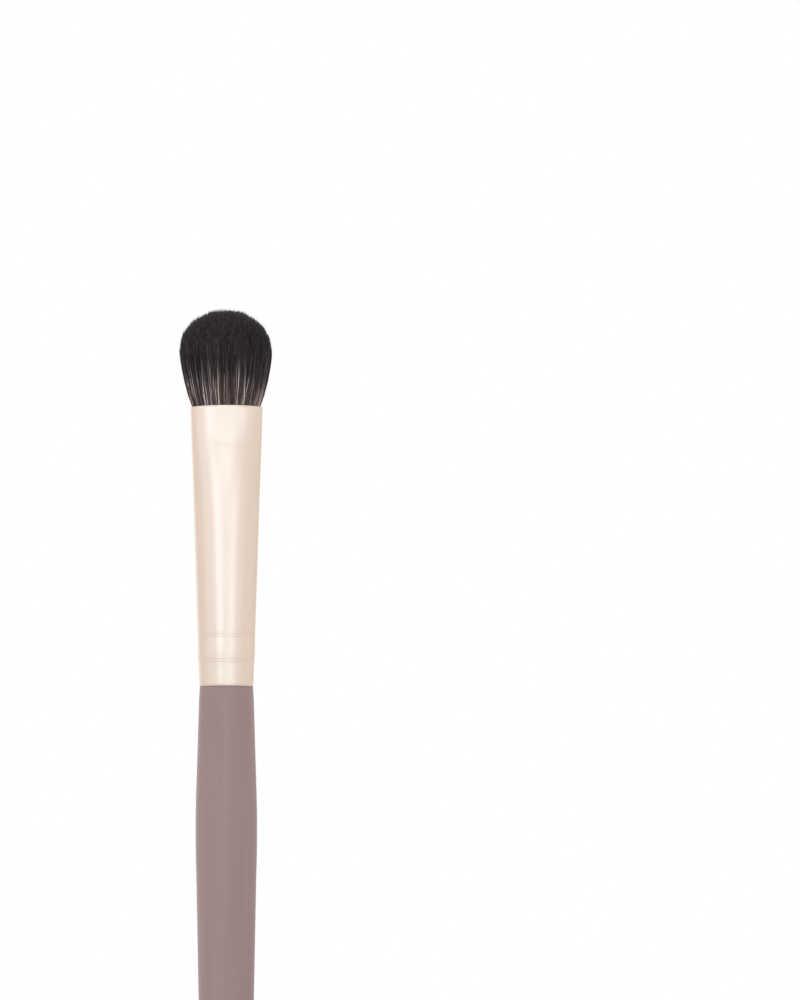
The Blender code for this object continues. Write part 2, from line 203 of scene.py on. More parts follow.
class Finish(Graph):
    """A Principled material. Plain values are set on the shader's own sockets."""

    def __init__(self, name, **constants):
        self.material = bpy.data.materials.new(name)
        self.material.use_nodes = True
        super().__init__(self.material.node_tree)
        self.shader = self.tree.nodes["Principled BSDF"]
        for title, value in constants.items():
            self.feed(title.replace("_", " "), value)

    def feed(self, title, value):
        """Fills one of the shader's sockets."""
        self.fill(self.shader.inputs[title], value)

    def relief(self, height, depth):
        """Feeds a height pattern of a given real depth to the surface's normal."""
        sockets = {"Height": height, "Strength": 1, "Distance": depth}
        self.feed("Normal", self.node("Bump", (), sockets))


SCREEN_GAMMA = 2.2


def screen(red, green, blue):
    """A colour as it shows on screen, from 0 to 255, as Blender's linear colour."""
    return (*((part / 255) ** SCREEN_GAMMA for part in (red, green, blue)), 1)


print("a mid grey on screen is", round(screen(128, 128, 128)[0], 3), "in Blender")

# %% [markdown]
# ## The white room
# A small glossy thing is mostly lit by what stands around it. The room is one even white,
# which the camera and the metal see at full strength, and which lights the surfaces a
# touch less, so that lamps can add the rest. Its light leans to the left, where a studio
# has its window: it grows with how far a ray comes from -X. Light Path tells the rays
# apart, and the Mix Shader picks the strength, so that white stays white.

# %% Paint the room
ROOM_LIGHT = 0.79
ROOM_LEAN = -0.1
WHITE = (1, 1, 1, 1)

room = bpy.data.worlds.new("white_room")
room.use_nodes = True
bpy.context.scene.world = room
walls = Graph(room.node_tree)
paint = walls.tree.nodes["Background"]
walls.fill(paint.inputs["Color"], WHITE)
direction = walls.node("TexCoord", output="Generated")
across = walls.node("SeparateXYZ", (), {0: direction}, output="X")
sockets = {"Color": WHITE, "Strength": across * ROOM_LEAN + ROOM_LIGHT}
lit = walls.node("Background", (), sockets)
camera_ray, glossy_ray, glass_ray = (
    walls.node("LightPath", output=f"Is {kind} Ray")
    for kind in ("Camera", "Glossy", "Transmission")
)
direct = camera_ray.math("MAXIMUM", camera_ray, glossy_ray)
direct = direct.math("MAXIMUM", direct, glass_ray)
sockets = {0: direct, 1: lit, 2: Wire(walls, paint.outputs[0])}
chosen = walls.node("MixShader", (), sockets)
walls.fill(walls.tree.nodes["World Output"].inputs["Surface"], chosen)
print("room lights surfaces at", ROOM_LIGHT)

# %% [markdown]
# ## The soft boxes
# Two soft boxes stand left and right of the camera. Each makes one bright stripe down
# the ferrule, and the gap between them, where the camera stands, leaves the darker line
# in its middle. Smaller ones above and below the camera fill that gap for surfaces that
# lean back or forwards. A dim panel further out on either side softens the stripes'
# outer edges, and two boxes behind give stripes there too. All are a little cooler than
# the room, the two that fill the gap most of all, so that it doesn't turn pink. All hang
# higher than the floor, which would shade them.

# %% Place the soft boxes
LAMP_DISTANCE = 1.2
AIM = Vector((0, 0, 30 * MM))
COOL_WHITE = (0.76, 1.0, 1.24)
GAP_WHITE = (0.77, 1.1, 1.33)


def hang_soft_box(
    name, turn, rise, width, height, brightness, distance=LAMP_DISTANCE, colour=COOL_WHITE,
):
    """An area light round the brush: turned from the front, raised, aimed at the ferrule.

    Its power follows from how bright its face looks, since an area light spreads the
    same power over its whole face.
    """
    shine = bpy.data.lights.new(name, "AREA")
    shine.color = colour
    shine.shape = "RECTANGLE"
    shine.size, shine.size_y = width, height
    shine.energy = brightness * math.pi * width * height
    around, up = math.radians(turn), math.radians(rise)
    away = Vector((
        math.sin(around) * math.cos(up),
        -math.cos(around) * math.cos(up),
        math.sin(up),
    ))
    box = bpy.data.objects.new(name, shine)
    box.location = AIM + away * distance
    box.rotation_euler = away.to_track_quat("Z", "Y").to_euler()
    box.visible_camera = False
    bpy.context.scene.collection.objects.link(box)
    print(name, "stands at", turn, "degrees, power", round(shine.energy, 2))


# name, degrees round from the front, degrees up, width, height, brightness
hang_soft_box("left_box", -24.3, 3.4, 0.5, 0.48, 0.65)
hang_soft_box("right_box", 22.2, 0.3, 0.46, 0.32, 0.82)
hang_soft_box("top_box", 0, 15.5, 0.48, 0.32, 0.77, colour=GAP_WHITE)
hang_soft_box("low_box", 1, -8, 0.16, 0.09, 0.8, distance=0.5, colour=GAP_WHITE)
hang_soft_box("wide_left_panel", -50, 4, 1.5, 1.4, 0.2)
hang_soft_box("wide_right_panel", 48, 0, 0.6, 0.25, 0.2)
hang_soft_box("back_left_box", -150, 4, 0.4, 0.5, 0.6)
hang_soft_box("back_right_box", 165, 4, 0.3, 0.5, 0.6)

# %% [markdown]
# ## The floor
# The picture shows no floor, but other views do. A wide pale disc just under the tip of
# the handle takes the soft shadow. Further out it fades into the white of the room, by
# its distance from the brush, so that no horizon shows. It is marked as stage, because
# it isn't part of the brush. Its finish comes next.

# %% Lay the floor
FLOOR_RADIUS = 3
FLOOR_GAP = 0.1 * MM

bm = bmesh.new()
bmesh.ops.create_circle(bm, cap_ends=True, segments=64, radius=FLOOR_RADIUS)
bmesh.ops.translate(bm, verts=bm.verts[:], vec=(0, 0, TAIL_END - FLOOR_GAP))
mesh = bpy.data.meshes.new("floor")
bm.to_mesh(mesh)
bm.free()
floor = bpy.data.objects.new("floor", mesh)
bpy.context.scene.collection.objects.link(floor)
floor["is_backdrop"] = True
print("floor at", round(floor.data.vertices[0].co.z / MM, 2), "mm")

# %% [markdown]
# ## The floor's finish
# Near the brush the floor is matte and pale, and it holds the shadow. From there out it
# is mixed with a plain white glow of strength 1, which is the white of the room. The
# mix follows the distance from the brush, so it stays in place from every side.

# %% Finish the floor
PALE_GREY = (0.86, 0.86, 0.86, 1)
FADE_FROM, FADE_TO = 0.25, 0.8

pale = Finish("pale_floor", Base_Color=PALE_GREY, Roughness=0.9, Specular_IOR_Level=0.1)
place = pale.node("TexCoord", output="Object")
distance = pale.node("VectorMath", {"operation": "LENGTH"}, {0: place}, output="Value")
glow = pale.node("Emission", (), {"Color": WHITE, "Strength": 1})
far = pale.step(distance, FADE_FROM, FADE_TO)
sockets = {0: far, 1: Wire(pale, pale.shader.outputs[0]), 2: glow}
faded = pale.node("MixShader", (), sockets)
pale.fill(pale.tree.nodes["Material Output"].inputs["Surface"], faded)
floor.data.materials.append(pale.material)

# %% [markdown]
# ## Smooth outlines
# The brush is a family of turned shapes. Each outline is given by a few stations, as a
# turner marks a drawing, and a smooth curve runs through them. The curve is kept as a
# dense table, because `np.interp` then reads it for one ring of a handle as well as for
# all the points of the hair, some 340,000 of them.

# %% Define the smooth curve
TABLE_ROWS = 240


def smooth_curve(stations):
    """A dense table, places and values, of a smooth curve through a few stations."""
    places, values = np.array(sorted(stations), float).T
    last = len(places) - 1
    index = np.arange(last + 1)
    before, after = np.maximum(index - 1, 0), np.minimum(index + 1, last)
    slopes = (values[after] - values[before]) / (places[after] - places[before])
    at = np.linspace(places[0], places[-1], TABLE_ROWS)
    low = np.clip(np.searchsorted(places, at, side="right") - 1, 0, last - 1)
    span = places[low + 1] - places[low]
    part = (at - places[low]) / span
    rest = 1 - part
    ends = values[low] * (1 + 2 * part) * rest**2
    ends = ends + values[low + 1] * (1 + 2 * rest) * part**2
    bends = slopes[low] * span * part * rest**2 - slopes[low + 1] * span * rest * part**2
    return at, ends + bends


def read(table, at):
    """A table's value at a place. Beyond the ends the last value holds."""
    return np.interp(at, *table)


# %% [markdown]
# ## Turning a piece
# A lathe turns a profile round an axis, and `bmesh.ops.spin` does the same: a few
# vertices joined by edges are swept round Z. A full spin needs `use_merge`, so that its
# last row closes onto its first. Points on the axis come out once for each step, so
# doubles are merged there, and only then are the normals worked out.

# %% Define the lathe
SAME_POINT = 0.0005 * MM


def turn_on_lathe(outline, closed, steps):
    """Sweeps (radius, height) points round Z. A closed outline is the wall of a tube."""
    bm = bmesh.new()
    points = [bm.verts.new((float(radius), 0, float(height))) for radius, height in outline]
    edges = [bm.edges.new(pair) for pair in zip(points, points[1:])]
    if closed:
        edges.append(bm.edges.new((points[-1], points[0])))
    bmesh.ops.spin(
        bm, geom=points + edges, cent=(0, 0, 0), axis=(0, 0, 1), angle=2 * math.pi,
        steps=steps, use_merge=True,
    )
    bmesh.ops.remove_doubles(bm, verts=bm.verts[:], dist=SAME_POINT)
    bmesh.ops.recalc_face_normals(bm, faces=bm.faces[:])
    return bm


def keep_piece(name, bm, finish, slot, *nodes):
    """Makes a finished piece of a bmesh: smooth, in its finish, riding on the brush."""
    for face in bm.faces:
        face.smooth = True
    mesh = bpy.data.meshes.new(name)
    bm.to_mesh(mesh)
    bm.free()
    place_piece(name, mesh, finish, slot, *nodes)


def place_piece(name, mesh, finish, slot, *nodes):
    """Puts a mesh in the scene as a piece that stands for solids of the brush."""
    piece = bpy.data.objects.new(name, mesh)
    mesh.materials.append(finish.material)
    bpy.context.scene.collection.objects.link(piece)
    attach(piece, "root")
    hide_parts(*nodes)
    print(name, "has", len(mesh.polygons), "faces")


# %% [markdown]
# ## The lacquered handle
# The handle is turned wood. A tenon goes up into the ferrule, and a small rounded lip
# meets the ferrule's end. From there it swells to its widest, where the fingers hold it,
# and tapers away to a rounded tip. The solid has forty sides. This finer one has three
# times as many and follows the same stations, with a smooth curve between them.

# %% Turn the handle
HANDLE_STATIONS = (
    (16.05, 6.97), (12.04, 7.21), (8.03, 7.45), (2.89, 7.76), (0, 7.82), (-3.45, 7.75),
    (-6.9, 7.59), (-21.7, 7.03), (-59.2, 5.67), (-98.6, 4.3),
)
TENON_TOP, TENON_RADIUS, TENON_CHAMFER = 29.0, 2.95, 0.4
LIP_TOP = 17.84
LIP_STATIONS = ((LIP_TOP, 6.76), (17.6, 6.8), (17.1, 6.86), (16.6, 6.92), (16.05, 6.97))
NECK_HEIGHT = HANDLE_STATIONS[0][0]
TAIL_HEIGHT, TAIL_DIAMETER = HANDLE_STATIONS[-1]
LIP_RINGS, HANDLE_RINGS, NOSE_RINGS = 14, 150, 15
HANDLE_STEPS = 120


def rings(stations, top, low, count):
    """(radius, height) points down one stretch of the handle."""
    table = smooth_curve(stations)
    return [(read(table, height) / 2, height) for height in np.linspace(top, low, count)]


tenon = [
    (0, TENON_TOP),
    (TENON_RADIUS - TENON_CHAMFER, TENON_TOP),
    (TENON_RADIUS, TENON_TOP - TENON_CHAMFER),
    (TENON_RADIUS, LIP_TOP),
]
lip = rings(LIP_STATIONS, LIP_TOP, NECK_HEIGHT, LIP_RINGS)[:-1]
shaft = rings(HANDLE_STATIONS, NECK_HEIGHT, TAIL_HEIGHT, HANDLE_RINGS)
nose_length = TAIL_HEIGHT - TAIL_END / MM
nose = [
    (TAIL_DIAMETER / 2 * math.cos(angle), TAIL_HEIGHT - nose_length * math.sin(angle))
    for angle in np.linspace(0, math.pi / 2, NOSE_RINGS)[1:]
]
nose[-1] = (0, TAIL_END / MM)
handle_outline = [
    (radius * MM, height * MM) for radius, height in tenon + lip + shaft + nose
]
print("handle outline has", len(handle_outline), "points")

# %% [markdown]
# ## The lacquer
# The lacquer is a greyish mauve with hardly any shine. On the real handle it isn't one
# flat colour: sanded wood under it telegraphs faint long streaks, and the sprayed film
# has a very fine skin like an orange's. Both patterns read Object coordinates, so they
# stay with the piece. The streaks are one noise stretched along the handle.

# %% Mix the lacquer
LACQUER_ROUGHNESS = 0.46
SKIN_DEPTH = 0.006 * MM

lacquer = Finish("matte_mauve_lacquer", IOR=1.5, Specular_IOR_Level=0.4)
place = lacquer.node("TexCoord", output="Object")
stretched = lacquer.node("Mapping", (), {"Vector": place, "Scale": (1, 1, 0.03)})
streaks = lacquer.node("TexNoise", (), {"Vector": stretched, "Scale": 900, "Detail": 4})
clouds = lacquer.node("TexNoise", (), {"Vector": place, "Scale": 110, "Detail": 2})
skin = lacquer.node("TexNoise", (), {"Vector": place, "Scale": 5200, "Detail": 1})
tone = lacquer.step(streaks * 0.8 + clouds * 0.2, 0.3, 0.7)
mauve = lacquer.blend(tone, screen(157, 130, 128), screen(163, 135, 132))
lacquer.feed("Base Color", mauve)
lacquer.feed("Roughness", LACQUER_ROUGHNESS + clouds * 0.08 - streaks * 0.04)
lacquer.relief(streaks * 0.7 + skin * 0.3, SKIN_DEPTH)

bm = turn_on_lathe(handle_outline, False, HANDLE_STEPS)
keep_piece("turned_handle", bm, lacquer, "mauve_lacquer", "handle")

# %% [markdown]
# ## The ferrule's outline
# The ferrule is one seamless tube. It is drawn round, crimped onto the handle by two
# pairs of fine rolled grooves, and its upper part is pressed oval round the hair. Three
# tables hold its width, its depth, and how square the oval is. Between the crimps the
# band stands out like a small pillow, which bends the stripes of light on it. The jaws
# of the press leave a faint mark where they end, a short way under the mouth.

# %% Mark the ferrule's stations
WIDTHS = smooth_curve((
    (35.75, 9.17), (31.2, 8.92), (27.4, 8.65), (23.6, 8.38), (18.5, 8.06), (13.45, 7.76),
    (8.4, 7.42), (7.2, 7.33),
))
DEPTHS = smooth_curve((
    (35.75, 5.43), (33.6, 5.6), (31.2, 5.93), (28.6, 6.45), (26.1, 6.85), (23.6, 7.06),
    (18.5, 7.27), (13.45, 7.38), (9.5, 7.35), (7.2, 7.33),
))
BANDS = smooth_curve((
    (7.2, 7.33), (6.9, 7.31), (6.1, 7.25), (5.75, 7.265), (5.2, 7.28), (4.8, 7.275),
    (4.2, 7.245), (3.6, 7.18), (3.05, 7.1), (2.5, 7.04), (1.9, 7.0), (1.42, 6.97),
    (0.91, 6.925), (0.41, 6.885), (0.15, 6.84), (0, 6.78),
))
OVAL_POWERS = smooth_curve((
    (60, 2.1), (43, 2.25), (35.75, 2.4), (31.5, 2.38), (29.2, 2.25), (24, 2.1), (16, 2),
    (0, 2),
))
LENGTH = (MOUTH - FERRULE_LOW) / MM
GROOVES = (6.61, 6.24, 3.4, 3.05)
GROOVE_WIDTH = 0.26
GROOVE_DEPTH = 0.007
WALL = 0.3
RIM_ROUNDING = 0.1
END_ROUNDING = 0.03
JAW_MARK = (30.0, 31.4)
JAW_DEPTH = 0.055
JAW_TILT = 0.4
MOUTH_DROP, DROP_REACH = 0.2, 0.6


def ferrule_sizes(height):
    """The ferrule's outer width and depth at a height above its lower end."""
    band = read(BANDS, height)
    above = height > BANDS[0][-1]
    return (
        np.where(above, read(WIDTHS, height), band),
        np.where(above, read(DEPTHS, height), band),
    )


def oval_point(angle, height):
    """The direction of a point of the pressed oval, longer where the oval is squarer."""
    power = read(OVAL_POWERS, height)
    cosine, sine = np.cos(angle), np.sin(angle)
    reach = (np.abs(cosine) ** power + np.abs(sine) ** power) ** (-1 / power)
    return cosine * reach, sine * reach


def groove_at(height):
    """How deep the rolled grooves are at a height: each is a smooth little valley."""
    away = np.array([abs(height - groove) for groove in GROOVES]) / (GROOVE_WIDTH / 2)
    return GROOVE_DEPTH * float((0.5 + 0.5 * np.cos(np.pi * np.minimum(away, 1))).sum())


wide, deep = ferrule_sizes(LENGTH)
print(f"mouth is {wide:.2f} by {deep:.2f} mm")

# %% [markdown]
# ## Pressing the ferrule
# The tube is turned first, as (inset, height) points on a drum, and then every point is
# moved to where the press puts it: out to the oval at its height, less its inset into
# the wall. Rings lie dense where the grooves and the rims are, and wide apart where the
# tube is plain, since only the curved stretches need them.

# %% Turn and press the ferrule
DRUM = 20
FERRULE_STEPS = 160
# from, to, how many rings
STRETCHES = (
    (LENGTH - RIM_ROUNDING, 7.2, 96), (7.14, 6.0, 46), (5.9, 4.0, 24), (3.94, 2.8, 46),
    (2.7, END_ROUNDING, 26),
)
INNER_RINGS, RIM_RINGS, END_RINGS = 50, 9, 7

ring_heights = np.concatenate([np.linspace(*stretch) for stretch in STRETCHES])
outer = [(groove_at(height), height) for height in ring_heights]
inner = [
    (WALL, height)
    for height in np.linspace(END_ROUNDING, LENGTH - RIM_ROUNDING, INNER_RINGS)
]
top_bend = [
    (WALL / 2 + WALL / 2 * math.cos(angle), LENGTH - RIM_ROUNDING * (1 - math.sin(angle)))
    for angle in np.linspace(0, math.pi, RIM_RINGS)[1:-1]
]
low_bend = [
    (WALL / 2 - WALL / 2 * math.cos(angle), END_ROUNDING * (1 - math.sin(angle)))
    for angle in np.linspace(0, math.pi, END_RINGS)[1:-1]
]
outline = [(DRUM - inset, height) for inset, height in outer + low_bend + inner + top_bend]
bm = turn_on_lathe(outline, True, FERRULE_STEPS)
for vertex in bm.verts:
    x, y, height = vertex.co
    inset = DRUM - math.hypot(x, y)
    wide, deep = oval_point(math.atan2(y, x), height)
    width, depth = ferrule_sizes(height)
    drop = MOUTH_DROP * (x / DRUM) ** 2 * max(1 - (LENGTH - height) / DROP_REACH, 0)
    past_jaw = np.interp(height + JAW_TILT * x / DRUM, JAW_MARK, (0, 1))
    dent = JAW_DEPTH * past_jaw**2 * (3 - 2 * past_jaw) * abs(y / DRUM) ** 3
    vertex.co.x = (width / 2 - inset) * wide * MM
    vertex.co.y = (depth / 2 - inset - dent) * deep * MM
    vertex.co.z = FERRULE_LOW + (height - drop) * MM
bmesh.ops.recalc_face_normals(bm, faces=bm.faces[:])
print("ferrule has", len(bm.verts), "points")

# %% [markdown]
# ## The champagne metal
# The ferrule is anodised aluminium in a pale champagne, satin but not brushed. Drawing
# through the die leaves hair-fine lines along the tube, so one noise is stretched along
# it and nudges the roughness and the relief. The rolled grooves and the lower end get
# painted shade, a little darker tone, which bands of height pick out on the surface's
# own Object coordinates.

# %% Mix the metal
METAL_ROUGHNESS = 0.27
DRAWN_DEPTH = 0.0015 * MM

metal = Finish("satin_champagne", Metallic=1.0, Specular_Tint=(0.84, 0.77, 0.69, 1))
place = metal.node("TexCoord", output="Object")
stretched = metal.node("Mapping", (), {"Vector": place, "Scale": (1, 1, 0.012)})
drawn = metal.node("TexNoise", (), {"Vector": stretched, "Scale": 9000, "Detail": 3})
clouds = metal.node("TexNoise", (), {"Vector": place, "Scale": 160, "Detail": 2})
height = metal.node("SeparateXYZ", (), {0: place}, output=2) / MM - FERRULE_LOW / MM
# Painted shade: the rolled grooves are darkened, to deepen their shading.
painted_groove_shade = 0
for groove in GROOVES:
    away = metal.node("Math", {"operation": "ABSOLUTE"}, {0: height - groove})
    painted_groove_shade = painted_groove_shade + (1 - metal.step(away, 0.02, 0.12))
# Painted shade at the lower end, where the ferrule meets the handle.
painted_foot_shade = 1 - metal.step(height, 0.1, 0.45)
tone = metal.step(clouds * 0.7 + drawn * 0.3, 0.25, 0.75)
champagne = metal.blend(tone, screen(224, 205, 189), screen(228, 209, 194))
# The painted shade pulls the champagne towards this darker tone.
champagne = metal.blend(painted_groove_shade * 0.1 + painted_foot_shade * 0.04, champagne, screen(196, 172, 156))
metal.feed("Base Color", champagne)
metal.feed("Roughness", METAL_ROUGHNESS + drawn * 0.05 + clouds * 0.04)
metal.relief(drawn, DRAWN_DEPTH)
keep_piece("pressed_ferrule", bm, metal, "champagne_metal", "ferrule")

# %% [markdown]
# ## Where the hair goes
# The hair is packed tight in the mouth, spreads as soon as it is free, and ends in a
# domed head that is cut on a slant: long at the back, short at the front, where the
# dome is a touch fuller. Tables hold its half width and its half depth to the front and
# back at each rise over the mouth. A hair is known by its place in a round disc, across
# and back from -1 to 1.

# %% Mark the tuft's stations
HALF_WIDTHS = smooth_curve((
    (-12, 4.2), (-1, 4.24), (0, 4.33), (0.35, 4.54), (1.1, 4.8), (2.1, 5.06), (3.1, 5.28),
    (4.1, 5.48), (5.1, 5.66), (6.15, 5.77), (7.7, 5.83), (9.5, 5.84), (13, 5.84),
))
LEAN = smooth_curve(((-12, 0), (0, -0.05), (5, -0.07), (8, -0.16), (13, -0.22)))
BACK_DEPTHS = smooth_curve((
    (-12, 2.85), (-1, 2.46), (0, 2.47), (0.35, 2.64), (2.35, 2.98), (4.4, 3.42), (5.9, 3.7),
    (6.9, 3.86), (7.9, 4.1), (8.95, 4.32), (10, 4.46), (11, 4.52), (13, 4.55),
))
FRONT_DEPTHS = smooth_curve((
    (-12, 2.85), (-1, 2.46), (0, 2.47), (0.35, 2.66), (2.35, 3.06), (4.4, 3.38),
    (5.9, 3.58), (6.4, 3.63), (8, 3.76), (10, 3.86), (13, 3.95),
))
SHOULDER, SLANT = 8.86, 2.15
DOME, DOME_POWER = 2.95, 0.44
FRONT_DOME, FRONT_EDGE, FRONT_FADE = 0.2, 0.5, 0.6
SIDE_FALL, SIDE_POWER = 1.35, 2.6


def cut_height(across, back):
    """The rise at which the cut ends a hair: a dome, slanted to the front and the sides."""
    tall = DOME + FRONT_DOME * np.clip((FRONT_EDGE - back) / FRONT_FADE, 0, 1)
    dome = tall * np.maximum(1 - across**2 - back**2, 0) ** DOME_POWER
    return SHOULDER + SLANT * back - SIDE_FALL * np.abs(across) ** SIDE_POWER + dome


def tuft_point(across, back, rise):
    """Where a place of the disc lies at a rise over the mouth, in millimetres."""
    angle = np.arctan2(back, across)
    out = np.hypot(across, back)
    wide, deep = oval_point(angle, rise + LENGTH)
    depths = np.where(back > 0, read(BACK_DEPTHS, rise), read(FRONT_DEPTHS, rise))
    return out * wide * read(HALF_WIDTHS, rise) + read(LEAN, rise), out * deep * depths


print("longest hair rises", round(float(cut_height(np.array(0.0), np.array(0.6))), 2), "mm")

# %% [markdown]
# ## One hair, doubled
# Sixteen thousand hairs can't be drawn by hand, and adding them one at a time would be
# slow. One hair is enough: a three-sided prism a unit long, cut across by a few planes
# so that it can bend and taper. The whole mesh is then doubled, and doubled again. After
# twelve doublings there are 4096 hairs, all in one place, and all closed.

# %% Grow one bundle of hairs
HAIR_CUTS = (0.22, 0.4, 0.58, 0.76, 0.91)
DOUBLINGS = 12


def everything(bm):
    """All that a mesh is made of, as its operators take it."""
    return bm.verts[:] + bm.edges[:] + bm.faces[:]


bm = bmesh.new()
bmesh.ops.create_cone(bm, cap_ends=True, segments=3, radius1=1, radius2=1, depth=1)
bmesh.ops.translate(bm, verts=bm.verts[:], vec=(0, 0, 0.5))
for cut in HAIR_CUTS:
    bmesh.ops.bisect_plane(
        bm, geom=everything(bm), plane_co=(0, 0, cut), plane_no=(0, 0, 1),
    )
bmesh.ops.recalc_face_normals(bm, faces=bm.faces[:])
POINTS_PER_HAIR = len(bm.verts)
for _ in range(DOUBLINGS):
    bmesh.ops.duplicate(bm, geom=everything(bm))
for face in bm.faces:
    face.smooth = True
hair_bundle = bpy.data.meshes.new("hair_bundle")
bm.to_mesh(hair_bundle)
bm.free()
HAIRS_PER_BUNDLE = len(hair_bundle.vertices) // POINTS_PER_HAIR
print("one bundle holds", HAIRS_PER_BUNDLE, "hairs of", POINTS_PER_HAIR, "points")

# %% [markdown]
# ## Sunflower places
# Hairs laid out in rows would show as rows. A sunflower fills its disc evenly with no
# rows at all: each seed is turned by the golden angle from the last, at a distance that
# grows with the square root of its number. The hairs take such places, and so do the
# strands, in which about four hairs lie together, and the locks of a dozen strands.

# %% Lay out hairs, strands and locks
from mathutils.kdtree import KDTree

BUNDLES = 4
STRANDS = 4000
LOCKS = 300
GOLDEN_ANGLE = math.pi * (3 - math.sqrt(5))
chance = np.random.default_rng(seed=7)


def sunflower(count, stray):
    """Places that fill the unit disc evenly, each strayed a little at random."""
    number = np.arange(count)
    out = np.sqrt((number + 0.5) / count)
    angle = number * GOLDEN_ANGLE
    places = np.stack([out * np.cos(angle), out * np.sin(angle)], axis=1)
    places += chance.normal(0, stray / math.sqrt(count), places.shape)
    return into_disc(places)


def into_disc(places, rim=1.0):
    """Brings places that lie beyond a rim back onto it."""
    return places / np.maximum(np.hypot(places[..., 0], places[..., 1]) / rim, 1)[..., None]


def nearest(places, centres):
    """The number of the centre nearest to each place."""
    tree = KDTree(len(centres))
    for number, (across, back) in enumerate(centres):
        tree.insert((across, back, 0), number)
    tree.balance()
    return np.array([tree.find((across, back, 0))[1] for across, back in places])


hair_places = sunflower(HAIRS_PER_BUNDLE * BUNDLES, stray=0.5)
strand_places = sunflower(STRANDS, stray=0.6)
lock_places = sunflower(LOCKS, stray=0.5)
strand_of_hair = nearest(hair_places, strand_places)
lock_of_strand = nearest(strand_places, lock_places)
print("a strand holds about", len(hair_places) // STRANDS, "hairs")

# %% [markdown]
# ## How hairs differ
# Hairs that are all alike look moulded. So each gets its own length, thickness and wave,
# and each strand its own drift, which lets strands cross. Above the mouth a hair leans to
# the middle of its strand, which opens fine dark gaps, and near the tip it is on its own
# again. The numbers below say how far, in millimetres or as a share of the disc. What a
# whole strand or lock has in common is drawn at random here, once.

# %% Set the play of hairs, strands and locks
ROOT_DEPTH = 2.6
HAIR_RADIUS, THINNEST, THICKER = 0.031, 0.85, 0.3
TAPER = ((0, 0.6, 0.88, 1), (1, 1, 0.85, 0.3))
STRAND_PULL = smooth_curve((
    (-3, 0.2), (0, 0.3), (1.5, 0.42), (4, 0.28), (6, 0.12), (9, 0), (13, 0),
))
LOCK_PULL = smooth_curve(((-3, 0), (0, 0.03), (2.5, 0.1), (5, 0.08), (8, 0), (13, 0)))
STRAND_DRIFT, HAIR_DRIFT = 0.045, 0.012
FREE_AT = 7
RIM, RIM_PLAY = 0.96, 0.05
WAVE, WAVE_TURN = 0.04, 1.3
SWAY, SWAY_TURN = 0.05, 1.2
SPLAY, STRAY, RARE, TIP_ONLY = 0.03, 0.2, 30, 10
NEAR_MIDDLE = 0.05
strand_drift = chance.normal(0, STRAND_DRIFT, (STRANDS, 2))
strand_phase, strand_turn = chance.random((2, STRANDS, 1)) * 2 * math.pi
strand_light = chance.random(STRANDS)
lock_light = chance.random(LOCKS)
print("strands drift by up to", round(float(np.abs(strand_drift).max()), 2), "of the disc")

# %% [markdown]
# ## Where the tips end
# No hair is quite as long as the cut allows. Most fall short of it by up to half a
# millimetre, and a few by more, which makes a soft edge. Some locks end higher than
# others too, and that makes the head's outline as uneven as a real one's.

# %% Cut the tips
MOST_SHORTER, FEW_SHORTER = 0.5, 0.8
UNEVEN_CUT, EVEN_LOCK = 0.35, 0.7


def tip_heights(places, lock):
    """How high over the mouth the hairs at some places end."""
    count = len(places)
    most, few = chance.random(count) ** 0.5, chance.random(count) ** 12
    full = cut_height(*into_disc(places).T) - (MOST_SHORTER * most + FEW_SHORTER * few)
    return full + UNEVEN_CUT * (lock_light[lock] - EVEN_LOCK)


# %% [markdown]
# ## Laying the hairs
# Each hair starts inside the ferrule, follows the tables out of the mouth, and ends at
# its tip. Everything is worked out for a whole bundle at once, as NumPy arrays with one
# row for each hair and one column for each of its points. The outermost hairs lie at a
# slightly uneven rim. A very few splay out or stray at the tip: a number between 0 and 1,
# drawn at random and raised to a high power, is near 0 for almost every hair.

# %% Give every hair its line
def strand_line(home, strand, lock, rise):
    """Each point's place in the disc, drawn to the middle of its strand and its lock."""
    to_strand, to_lock = strand_places[strand] - home, lock_places[lock] - home
    line = home[:, None] + to_strand[:, None] * read(STRAND_PULL, rise)[:, :, None]
    return line + to_lock[:, None] * read(LOCK_PULL, rise)[:, :, None]


